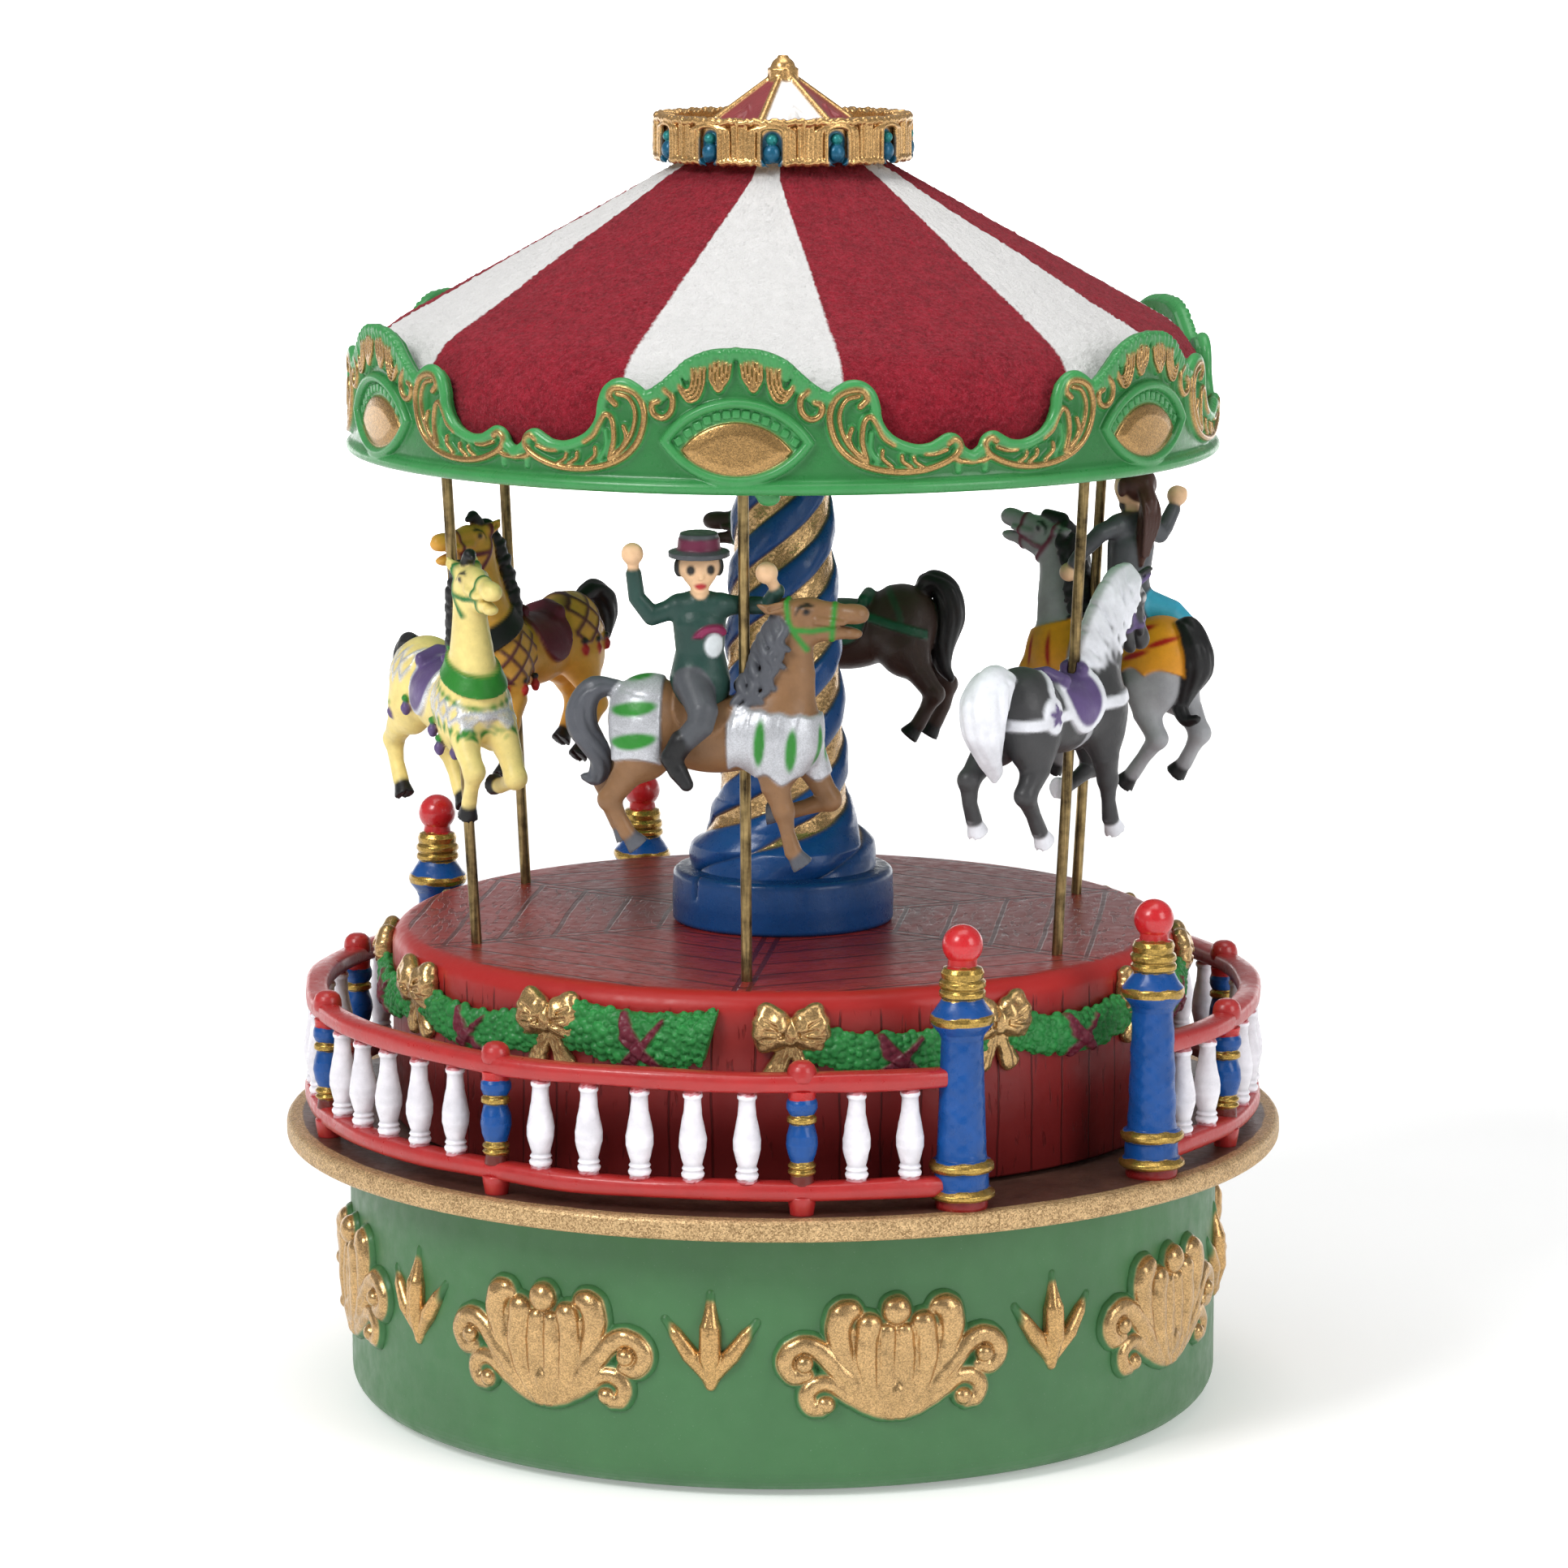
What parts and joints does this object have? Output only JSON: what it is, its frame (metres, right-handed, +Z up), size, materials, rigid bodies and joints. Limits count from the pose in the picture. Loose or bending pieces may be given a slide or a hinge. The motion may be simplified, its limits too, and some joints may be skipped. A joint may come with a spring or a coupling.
{
  "type": "carousel music box",
  "caption": "Carousel music box: horses on leaning poles round a twisted column, under a striped canopy, turn on a fenced drum base that holds the wind-up movement.",
  "frame": {"origin": "centre of the felt ring's underside, on the surface the music box stands on", "axes": "+Z up along the axis the carousel turns on; the front is -Y"},
  "size_m": [0.114, 0.114, 0.1527],
  "materials": {
    "base_green": "satin paint on moulded plastic",
    "canopy_green": "glossy moulded plastic",
    "glitter_gold": "gold paint with glitter",
    "ornament_gold": "gold paint with glitter",
    "crown_gold": "gold paint with glitter",
    "deck_red": "painted, planked",
    "fence_red": "satin paint",
    "ball_red": "glossy paint",
    "fence_blue": "satin paint",
    "column_blue": "satin paint",
    "baluster_white": "satin paint",
    "garland_green": "satin paint",
    "ribbon_maroon": "satin paint",
    "pole_brass": "aged brass tube",
    "tan_coat": "satin paint",
    "pale_coat": "satin paint",
    "golden_coat": "satin paint",
    "brown_coat": "satin paint",
    "grey_coat": "satin paint",
    "charcoal_coat": "satin paint",
    "dark_hair": "satin paint",
    "grey_hair": "satin paint",
    "white_paint": "satin paint",
    "silver_paint": "silver paint",
    "purple_paint": "satin paint",
    "maroon_paint": "satin paint",
    "harness_green": "satin paint",
    "yellow_paint": "satin paint",
    "teal_paint": "satin paint",
    "rider_green": "satin paint",
    "rider_grey": "satin paint",
    "rider_skin": "satin paint",
    "rider_cyan": "satin paint",
    "hair_brown": "satin paint",
    "roof_red": "flocked felt",
    "roof_white": "flocked felt",
    "foot_felt": "felt",
    "white_plastic": "moulded plastic",
    "black_plastic": "moulded plastic",
    "nylon": "moulded plastic",
    "brass": "turned brass",
    "steel": "turned steel",
    "spring_steel": "blued spring steel",
    "aluminium": "sheet"
  },
  "bodies": {
    "base": {"base_shell": "base_green", "base_cover": "black_plastic", "cover_screws": "steel", "felt_ring": "foot_felt", "ledge_plate": "glitter_gold", "shaft_bush": "brass", "base_palmettes": "ornament_gold", "base_sprigs": "ornament_gold", "fence_rails_left": "fence_red", "fence_rails_right": "fence_red", "fence_balusters_left": "baluster_white", "fence_balusters_right": "baluster_white", "fence_posts_left": "fence_blue", "fence_posts_right": "fence_blue", "gate_posts": "fence_blue", "gate_balls": "ball_red", "bedplate": "brass", "movement_screws": "steel", "movement_brackets": "steel", "governor_frame": "steel", "comb": "spring_steel", "comb_block": "brass", "comb_screws": "steel"},
    "key": {"winding_key": "brass", "winding_arbor": "steel"},
    "cylinder": {"tune_cylinder": "brass", "cylinder_arbor": "steel", "cylinder_pinion": "steel", "great_wheel": "brass"},
    "idler": {"idler_arbor": "steel", "idler_pinion": "steel", "worm_wheel": "brass"},
    "fly": {"worm": "steel", "fly_vane": "aluminium"},
    "carousel": {"spring_barrel": "brass", "barrel_lid": "brass", "barrel_gear": "nylon", "mainspring": "spring_steel", "drive_shaft": "steel", "shaft_nut": "steel", "deck_drum": "deck_red", "garland_swags": "garland_green", "garland_bows": "ornament_gold", "column_base": "column_blue", "column_shaft": "column_blue", "horse_poles": "pole_brass", "horse_tan": "tan_coat", "horse_pale": "pale_coat", "horse_golden": "golden_coat", "horse_brown": "brown_coat", "horse_grey": "grey_coat", "horse_charcoal": "charcoal_coat", "rider_hat": "rider_green", "rider_ponytail": "rider_grey", "canopy_ceiling": "canopy_green", "canopy_shell": "white_plastic", "roof_felt": "roof_red", "valance": "canopy_green", "crown_ring": "crown_gold", "cupola_finial": "crown_gold"}
  },
  "joints": [
    {"name": "carousel_spin", "type": "hinge", "parent": "base", "child": "carousel", "pos_m": [0, 0, 0.03], "axis": [0, 0, 1], "continuous": true},
    {"name": "key_turn", "type": "hinge", "parent": "base", "child": "key", "pos_m": [0, 0, 0.01], "axis": [0, 0, 1], "continuous": true},
    {"name": "cylinder_spin", "type": "hinge", "parent": "base", "child": "cylinder", "pos_m": [0.02, 0, 0.0216], "axis": [1, 0, 0], "continuous": true},
    {"name": "idler_spin", "type": "hinge", "parent": "base", "child": "idler", "pos_m": [0.036, -0.009, 0.0216], "axis": [1, 0, 0], "continuous": true},
    {"name": "fly_spin", "type": "hinge", "parent": "base", "child": "fly", "pos_m": [0.036, -0.0142, 0.02], "axis": [0, 0, 1], "continuous": true}
  ],
  "couplings": [
    {"joint": "cylinder_spin", "follows": "carousel_spin", "ratio": 5.3},
    {"joint": "idler_spin", "follows": "carousel_spin", "ratio": -18.55},
    {"joint": "fly_spin", "follows": "carousel_spin", "ratio": -185.5}
  ]
}
